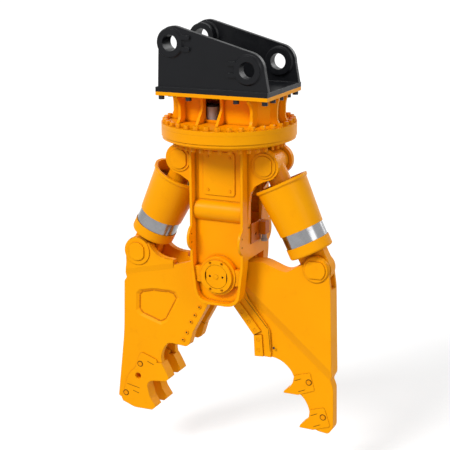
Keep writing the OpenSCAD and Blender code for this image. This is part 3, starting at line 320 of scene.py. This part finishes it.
BY_SLOT = {
    "yellow_paint": yellow, "black_paint": black, "grey_paint": grey, "dark_cap": cap_black,
    "brown_block": brown, "bolt_black": bolt_black, "bolt_yellow": bolt_yellow, "race_steel": race,
    "ball_steel": balls, "blade_steel": cast_yellow, "bronze": bronze, "bare_steel": pin,
}
CAST = ("jaw_front_plate", "jaw_rear_plate", "jaw_spine", "claw", "jaw_body", "tooth", "end_cap")
slot_of = {p["node"]: p["material_slot"] for p in frame["record"]["subparts"]}
for name, obj in nodes.items():
    slot = slot_of[name]
    side = name.split("_")[0]
    if slot == "rod_chrome":
        mat = chrome[side]
    elif slot == "bare_steel" and side in turned:
        mat = turned[side]
    elif name == "right_blade_bolts":
        mat = bolt_yellow
    elif slot == "yellow_paint" and any(c in name for c in CAST):
        mat = cast_yellow
    else:
        mat = BY_SLOT[slot]
    obj.data.materials.clear()
    obj.data.materials.append(mat)


# ---------------------------------------------------------------- mesh helpers
def piece(name, bm, body, mat, smooth=True):
    """Ends a mesh as a piece that rides on a body, in the material it is given."""
    bmesh.ops.recalc_face_normals(bm, faces=bm.faces)
    mesh = bpy.data.meshes.new(name)
    bm.to_mesh(mesh)
    bm.free()
    mesh.materials.append(mat)
    for f in mesh.polygons:
        f.use_smooth = smooth
    o = bpy.data.objects.new(name, mesh)
    scene.collection.objects.link(o)
    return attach(o, body)


def angles(count, turn=0.0):
    return [turn + 2 * math.pi * i / count for i in range(count)]


def skin(bm, rows, ring=False):
    """Joins rows of vertices, each to the next; ring joins the last to the first, or else ends get a face."""
    count = len(rows[0])
    for low, high in zip(rows, rows[1:] + rows[:1] if ring else rows[1:]):
        for i in range(count):
            k = (i + 1) % count
            bm.faces.new((low[i], low[k], high[k], high[i]))
    if not ring:
        bm.faces.new(rows[0])
        bm.faces.new(rows[-1])


def lathe(bm, centre, side, profile, ring=False, steps=40):
    """Turns (radius, height off the face) about an axis along y, with its face to the front or the rear."""
    x, y, z = centre
    skin(bm, [[bm.verts.new((x + r * math.cos(a), y + side * h, z + r * math.sin(a))) for a in angles(steps)]
              for r, h in profile], ring)


def bead(bm, a, b, radius, pitch=0.006, steps=8):
    """A weld bead from a to b, a rod whose thickness ripples and whose ends taper."""
    a, b = Vector(a), Vector(b)
    u = (b - a).normalized().orthogonal().normalized()
    v = (b - a).normalized().cross(u)
    count = max(4, int((b - a).length / pitch * 4))
    rows = []
    for j in range(count + 1):
        q = j / count
        taper = min(1.0, 6.0 * min(q, 1.0 - q) + 0.35)
        r = radius * taper * (1.0 + 0.12 * math.cos(2 * math.pi * j / 4) + 0.05 * math.sin(j * 0.7))
        c = a.lerp(b, q)
        rows.append([bm.verts.new(c + (u * math.cos(t) + v * math.sin(t)) * r) for t in angles(steps)])
    skin(bm, rows)


def jaw_bead(bm, out, face, a, b, radius, **shape):
    """A bead on a jaw's face between two offsets (outward, up) from the main pin."""
    bead(bm, *((AXIS_X + out * q[0], face, PIVOT_Z + q[1]) for q in (a, b)), radius, **shape)


def hex_head(bm, x, y, z, side, flats, height, turn):
    """A hexagon head on its washer that stands on z, upwards where side is 1 and downwards where it is -1."""
    corner, washer = flats / math.sqrt(3.0), flats * 0.60
    for count, profile in ((24, ((washer, 0.0), (washer, 0.0024), (washer - 0.0008, 0.0032))),
                           (6, ((corner, 0.0032), (corner, height * 0.86), (corner * 0.85, height)))):
        skin(bm, [[bm.verts.new((x + r * math.cos(q), y + r * math.sin(q), z + side * h))
                   for q in angles(count, turn)] for r, h in profile])


def corners(co):
    """The lowest and the highest corner of some points."""
    return tuple(Vector(f(c[i] for c in co) for i in range(3)) for f in (min, max))


def loose_parts(name):
    """The corners of each loose part of a node, in order of place."""
    bm = bmesh.new()
    bm.from_mesh(nodes[name].data)
    bmesh.ops.remove_doubles(bm, verts=bm.verts, dist=1e-5)
    bm.verts.index_update()
    seen = [False] * len(bm.verts)
    parts = []
    for first in bm.verts:
        if seen[first.index]:
            continue
        seen[first.index] = True
        stack, co = [first], []
        while stack:
            v = stack.pop()
            co.append(v.co.copy())
            for e in v.link_edges:
                w = e.other_vert(v)
                if not seen[w.index]:
                    seen[w.index] = True
                    stack.append(w)
        parts.append(corners(co))
    bm.free()
    return sorted(parts, key=lambda b: tuple(b[0]))


def foot(name, depth=0.002):
    """The corners of what a node has within depth of its underside."""
    lo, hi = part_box(name)
    return corners([v.co for v in nodes[name].data.vertices if v.co.z < lo.z + depth])


# ---------------------------------------------------------------- pieces
# Dark rings round the pins of the claws and the teeth, as painted shade of the gap round each pin
SHADE_RING = [(0.0172, -0.0004), (0.0172, 0.0009), (0.0182, 0.0014), (0.0218, 0.0014), (0.0230, 0.0008),
        (0.0230, -0.0004)]
for name, body, carrier in (("left_claw_pins", "left_jaw", "left_front_claw"),
                            ("right_tooth_pins", "right_jaw", "right_upper_tooth")):
    bm = bmesh.new()
    face = max(abs(c.y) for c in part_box(carrier))
    for a, b in loose_parts(name):
        for side, end in ((FRONT, a), (REAR, b)):
            if side * end.y > MOUTH_HALF:
                lathe(bm, ((a.x + b.x) / 2, side * face, (a.z + b.z) / 2), side, SHADE_RING, ring=True)
    piece(name.replace("pins", "pin_shade_rings"), bm, body, gap_shade)

# Dark beads along the seams between the jaws and what is fitted on them, as painted shade of the gaps; given
# as offsets (outward, up) from the main pin
SEAM_R = 0.0019
JAW_SEAMS = {
    "left": (-1, (
        (CLAW_FACE, (((0.612, -0.750), (0.555, -0.772)), ((0.738, -1.001), (0.687, -1.016)),
                     ((0.787, -0.954), (0.678, -0.975)))),
    )),
    "right": (1, (
        (TOOTH_FACE, (((0.511, -0.754), (0.563, -0.730)), ((0.542, -0.831), (0.594, -0.807)),
                      ((0.634, -0.997), (0.686, -0.972)), ((0.657, -1.076), (0.710, -1.051)))),
        (NARROW_FACE, (((0.137, -0.183), (0.321, -0.394)), ((0.321, -0.394), (0.337, -0.563)))),
    )),
}
for side, (out, groups) in JAW_SEAMS.items():
    bm = bmesh.new()
    for face, lines in groups:
        for front in (FRONT, REAR):
            for a, b in lines:
                jaw_bead(bm, out, front * face, a, b, SEAM_R)
    piece(side + "_jaw_seams", bm, side + "_jaw", gap_shade)

# The fillet round the floor of the wide jaw's pockets, darker as painted shade in the recess
POCKET = ((0.694, -0.239), (0.668, -0.209), (0.560, -0.183), (0.414, -0.179), (0.366, -0.188),
          (0.339, -0.229), (0.444, -0.426), (0.493, -0.456), (0.665, -0.404), (0.698, -0.370))
POCKET_MIDDLE = (0.540, -0.300)
POCKET_DRAFT = 0.84
POCKET_FILLET_R = 0.0058
bm = bmesh.new()
floor_line = [[m + (q - m) * POCKET_DRAFT for q, m in zip(point, POCKET_MIDDLE)] for point in POCKET]
for front in (FRONT, REAR):
    for a, b in zip(floor_line, floor_line[1:] + floor_line[:1]):
        jaw_bead(bm, -1, front * POCKET_FLOOR, a, b, POCKET_FILLET_R, pitch=0.02)
piece("left_jaw_pocket_fillets", bm, "left_jaw", pocket_shade)

# Dowels in the faces of the narrow jaw
DOWEL = [(0.0040, 0.0006), (0.0080, 0.0006), (0.0092, -0.0010)]
DOWEL_AT = (0.362, -0.526)
bm = bmesh.new()
for side in (FRONT, REAR):
    lathe(bm, (AXIS_X + DOWEL_AT[0], side * NARROW_FACE, PIVOT_Z + DOWEL_AT[1]), side, DOWEL, steps=20)
piece("right_jaw_dowels", bm, "right_jaw", bolt_black)

# Welds at the feet of the bracket's ears
WELD_R, WELD_LIFT, WELD_INSET = 0.006, 0.001, 0.004
bm = bmesh.new()
for name in ("bracket_front_ear", "bracket_rear_ear"):
    lo, hi = foot(name)
    for y in (lo.y, hi.y):
        bead(bm, (lo.x + WELD_INSET, y, lo.z + WELD_LIFT), (hi.x - WELD_INSET, y, lo.z + WELD_LIFT), WELD_R)
piece("bracket_welds", bm, "carrier", black)

# Hexagon heads with washers and chamfers, in place of the plain ones on the two flanges
for name, body, side, flats, height in (("housing_bolts", "carrier", 1, 0.034, 0.027),
                                        ("turntable_bolts", "frame", -1, 0.029, 0.032)):
    bm = bmesh.new()
    for lo, hi in loose_parts(name):
        x, y = (lo.x + hi.x) / 2, (lo.y + hi.y) / 2
        z = lo.z if side > 0 else hi.z
        hex_head(bm, x, y, z, side, flats, height, math.atan2(y, x - AXIS_X))
    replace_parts(piece(name[:-1] + "_heads", bm, body, bolt_yellow, smooth=False), name)

# Socket-head screws in the wide jaw's blade seats: painted heads, with a black plug in each socket as painted
# shade
KEY_R = 0.0062
KEY_DEEP = 0.007
SOCKET = [(KEY_R - 0.0001, -0.0068), (KEY_R - 0.0001, -0.0022), (KEY_R - 0.001, -0.0018)]
HEAD_CHAMFER = 0.0016
heads, socket_shade = bmesh.new(), bmesh.new()
for lo, hi in loose_parts("left_blade_bolts"):
    x, z, r = (lo.x + hi.x) / 2, (lo.z + hi.z) / 2, (hi.x - lo.x) / 2
    side, face = (FRONT, lo.y) if lo.y + hi.y < 0 else (REAR, hi.y)
    head = [(KEY_R, -KEY_DEEP), (KEY_R, -0.0004), (KEY_R + 0.0006, 0.0), (r - HEAD_CHAMFER, 0.0),
            (r, -HEAD_CHAMFER), (r, lo.y - hi.y)]
    lathe(heads, (x, face, z), side, head, steps=28)
    lathe(socket_shade, (x, face, z), side, SOCKET, steps=20)
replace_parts(piece("left_blade_screw_heads", heads, "left_jaw", bolt_yellow), "left_blade_bolts")
piece("left_blade_screw_socket_shade", socket_shade, "left_jaw", cap_black)


# ---------------------------------------------------------------- stage
FLOOR_HALF = 60.0
FLOOR_DROP = 0.35
FLOOR_COLOR = (0.52, 0.52, 0.52, 1.0)
FLOOR_GLOW = 0.62
WORLD_LIGHT = 0.32
WORLD_SEEN = 1.0

floor_z = cad_lo.z - FLOOR_DROP
floor_mesh = bpy.data.meshes.new("floor")
floor_mesh.from_pydata([(sx * FLOOR_HALF, sy * FLOOR_HALF, floor_z)
                        for sx, sy in ((-1, -1), (1, -1), (1, 1), (-1, 1))], [], [(0, 1, 2, 3)])
floor = bpy.data.objects.new("floor", floor_mesh)
scene.collection.objects.link(floor)
floor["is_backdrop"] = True
t = Tree(bpy.data.materials.new("pale_floor"))
diffuse = t.new("ShaderNodeBsdfDiffuse")
diffuse.inputs["Color"].default_value = FLOOR_COLOR
glow = t.new("ShaderNodeEmission")
glow.inputs["Color"].default_value = WHITE
t.put(glow.inputs["Strength"], t.math("MULTIPLY", t.unlit_ray(), FLOOR_GLOW))
both = t.new("ShaderNodeAddShader")
t.link(diffuse.outputs[0], both.inputs[0])
t.link(glow.outputs[0], both.inputs[1])
t.link(both.outputs[0], t.out.inputs["Surface"])
floor_mesh.materials.append(t.owner)

scene.world = bpy.data.worlds.new("studio")
t = Tree(scene.world, "ShaderNodeOutputWorld")
chosen = t.new("ShaderNodeMixShader")
t.link(t.unlit_ray(), chosen.inputs[0])
for i, strength in ((1, WORLD_LIGHT), (2, WORLD_SEEN)):
    sky = t.new("ShaderNodeBackground")
    sky.inputs["Color"].default_value = WHITE
    sky.inputs["Strength"].default_value = strength
    t.link(sky.outputs[0], chosen.inputs[i])
t.link(chosen.outputs[0], t.out.inputs["Surface"])


def sun(name, energy, towards, angle):
    data = bpy.data.lights.new(name, "SUN")
    data.energy = energy
    data.angle = math.radians(angle)
    o = bpy.data.objects.new(name, data)
    scene.collection.objects.link(o)
    o.rotation_euler = Vector(towards).to_track_quat("-Z", "Y").to_euler()


sun("key", 2.3, (0.38, 1.0, -0.85), 20)
sun("side", 0.55, (-1.0, 0.5, -0.5), 30)
sun("rear", 0.9, (-0.35, -1.0, -0.45), 35)


# ---------------------------------------------------------------- camera
# The fitted camera, in a unit of 7 mm: one pixel of the photograph at the slewing axis
UNIT = 0.007
FOCUS = 1174.26
PHOTO_WIDTH = 450.0
SENSOR = 36.0
SHIFT_RIGHT, SHIFT_UP = -4.87, -105.83
phi, elev, roll = math.radians(25.16), math.radians(14.88), math.radians(-0.40)

back = Vector((math.sin(phi) * math.cos(elev), -math.cos(phi) * math.cos(elev), math.sin(elev)))
right = Vector((math.cos(phi), math.sin(phi), 0.0))
up = back.cross(right)
rolled_right = right * math.cos(roll) + up * math.sin(roll)
rolled_up = up * math.cos(roll) - right * math.sin(roll)
target = right * SHIFT_RIGHT + Vector((0.0, 0.0, SHIFT_UP))
place = (target + back * FOCUS) * UNIT + Vector((AXIS_X, 0.0, RING_Z))
cam_data = bpy.data.cameras.new("camera")
cam_data.sensor_width = SENSOR
cam_data.lens = FOCUS / PHOTO_WIDTH * SENSOR
cam = bpy.data.objects.new("camera", cam_data)
scene.collection.objects.link(cam)
m = Matrix.Identity(4)
for i in range(3):
    m[i][0], m[i][1], m[i][2], m[i][3] = rolled_right[i], rolled_up[i], back[i], place[i]
cam.matrix_world = m
scene.camera = cam

scene.view_settings.view_transform = "Standard"

lo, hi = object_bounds()
